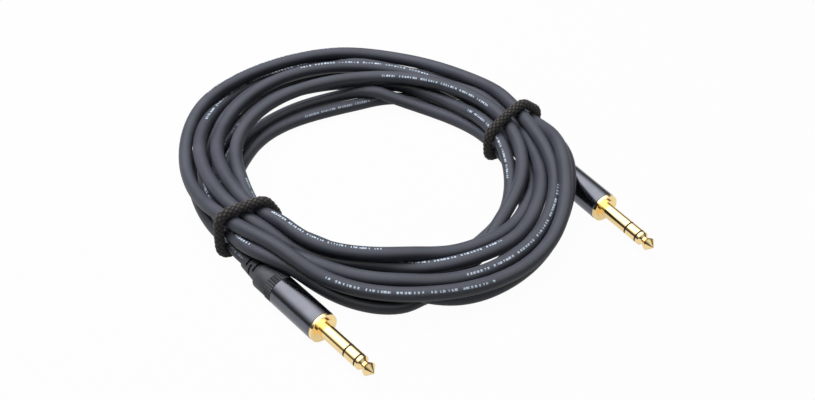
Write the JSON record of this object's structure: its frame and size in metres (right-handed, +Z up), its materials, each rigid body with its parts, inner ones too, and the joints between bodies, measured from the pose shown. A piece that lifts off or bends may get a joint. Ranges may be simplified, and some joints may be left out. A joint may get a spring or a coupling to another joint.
{
  "type": "instrument cable",
  "caption": "Coiled audio cable with a 6.35 mm three-pole plug at each end, held in its coil by elastic ties.",
  "frame": {"origin": "on the surface that the cable lies on, at the middle of the box round the two plugs and the two ties", "axes": "+Z up; +X to the side of the coil where the far plug lies; the near plug lies in front, towards -Y"},
  "size_m": [0.2193, 0.2192, 0.0291],
  "materials": {
    "cord_jacket": "matte",
    "tie_braid": "matte",
    "gold_plate": "polished",
    "pin_insulator": "satin",
    "shell_black": "satin",
    "nut_plastic": "matte",
    "relief_rubber": "matte",
    "chuck_plastic": "satin",
    "liner_film": "satin",
    "tinned_brass": "satin",
    "core_red": "satin",
    "core_white": "satin",
    "bare_copper": "satin",
    "solder_tin": "satin"
  },
  "bodies": {
    "cable": {"cord_coil": "cord_jacket", "tie_left": "tie_braid", "tie_right": "tie_braid", "near_tip_contact": "gold_plate", "near_tip_insulator": "pin_insulator", "near_ring_contact": "gold_plate", "near_ring_insulator": "pin_insulator", "near_sleeve_contact": "gold_plate", "near_rear_insulator": "pin_insulator", "near_ring_lug": "tinned_brass", "near_lug_washer": "pin_insulator", "near_tip_lug": "tinned_brass", "near_ground_lug": "tinned_brass", "near_shell": "shell_black", "near_shell_liner": "liner_film", "near_tip_core": "core_red", "near_ring_core": "core_white", "near_screen_tail": "bare_copper", "near_solder": "solder_tin", "near_cord_lead": "cord_jacket", "far_tip_contact": "gold_plate", "far_tip_insulator": "pin_insulator", "far_ring_contact": "gold_plate", "far_ring_insulator": "pin_insulator", "far_sleeve_contact": "gold_plate", "far_rear_insulator": "pin_insulator", "far_ring_lug": "tinned_brass", "far_lug_washer": "pin_insulator", "far_tip_lug": "tinned_brass", "far_ground_lug": "tinned_brass", "far_shell": "shell_black", "far_shell_liner": "liner_film", "far_tip_core": "core_red", "far_ring_core": "core_white", "far_screen_tail": "bare_copper", "far_solder": "solder_tin", "far_cord_lead": "cord_jacket"},
    "near_chuck": {"near_chuck": "chuck_plastic"},
    "far_chuck": {"far_chuck": "chuck_plastic"},
    "near_boot": {"near_back_nut": "nut_plastic", "near_bend_relief": "relief_rubber"},
    "far_boot": {"far_back_nut": "nut_plastic", "far_bend_relief": "relief_rubber"}
  },
  "joints": [
    {"name": "near_chuck_slide", "type": "slide", "parent": "cable", "child": "near_chuck", "axis": [-0.6652, 0.7466, 0], "range_m": [0, 0.004]},
    {"name": "near_boot_unscrew", "type": "hinge", "parent": "near_chuck", "child": "near_boot", "pos_m": [-0.06558, -0.03572, 0.00685], "axis": [-0.6652, 0.7466, 0], "range_deg": [0, 1440]},
    {"name": "far_chuck_slide", "type": "slide", "parent": "cable", "child": "far_chuck", "axis": [-0.5505, 0.8348, 0], "range_m": [0, 0.004]},
    {"name": "far_boot_unscrew", "type": "hinge", "parent": "far_chuck", "child": "far_boot", "pos_m": [0.06287, 0.04063, 0.00685], "axis": [-0.5505, 0.8348, 0], "range_deg": [0, 1440]}
  ],
  "couplings": [
    {"joint": "near_boot_unscrew", "follows": "near_chuck_slide", "rad_per_m": 6283.2},
    {"joint": "far_boot_unscrew", "follows": "far_chuck_slide", "rad_per_m": 6283.2}
  ]
}
